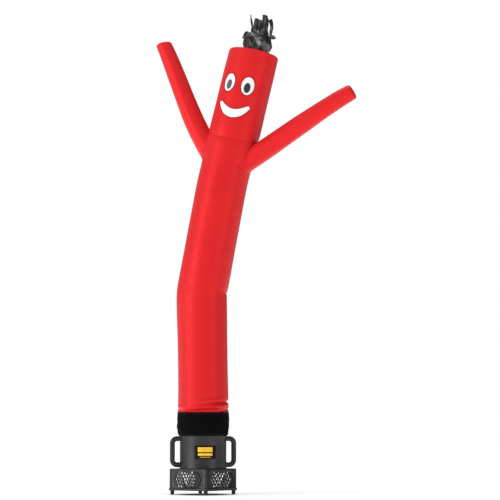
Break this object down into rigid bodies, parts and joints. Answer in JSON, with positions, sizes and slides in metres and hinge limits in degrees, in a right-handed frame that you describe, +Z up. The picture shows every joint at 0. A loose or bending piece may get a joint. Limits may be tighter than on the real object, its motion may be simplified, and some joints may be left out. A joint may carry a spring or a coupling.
{
  "type": "inflatable air dancer on blower",
  "caption": "Inflated red cloth tube figure with raised arms, a smiling face and a tuft of black strips, leaning over where it stands on a square-based black plastic blower.",
  "frame": {"origin": "centre of the whole part's footprint box on the floor, under the feet's bottoms", "axes": "+Z up and along the longest extent; +X to the viewer's right, where the figure leans; +Y away from the viewer, who looks at the face, and along the shortest extent"},
  "size_m": [0.9382, 0.485, 2.382],
  "materials": {
    "red_cloth": "satin woven nylon",
    "black_cloth": "matte woven nylon",
    "white_patch": "satin woven nylon",
    "dark_patch": "satin woven nylon",
    "hair_cloth": "crumpled, slightly shiny nylon",
    "charcoal_plastic": "finely pebbled moulded plastic",
    "foot_rubber": "matte",
    "plate_black": "smooth"
  },
  "bodies": {
    "root": {"torso_tube": "red_cloth", "head_tube": "red_cloth", "head_top": "red_cloth", "arm_left": "red_cloth", "arm_right": "red_cloth", "cuff": "black_cloth", "eye_left": "white_patch", "eye_right": "white_patch", "mouth": "white_patch", "pupil_left": "dark_patch", "pupil_right": "dark_patch", "hair": "hair_cloth", "blower_body": "charcoal_plastic", "blower_base": "charcoal_plastic", "grille_front_left": "charcoal_plastic", "grille_front_right": "charcoal_plastic", "grille_back_left": "charcoal_plastic", "grille_back_right": "charcoal_plastic", "handle_left": "charcoal_plastic", "handle_right": "charcoal_plastic", "foot_front": "foot_rubber", "foot_right": "foot_rubber", "foot_back": "foot_rubber", "foot_left": "foot_rubber", "front_plate": "plate_black"}
  },
  "joints": []
}
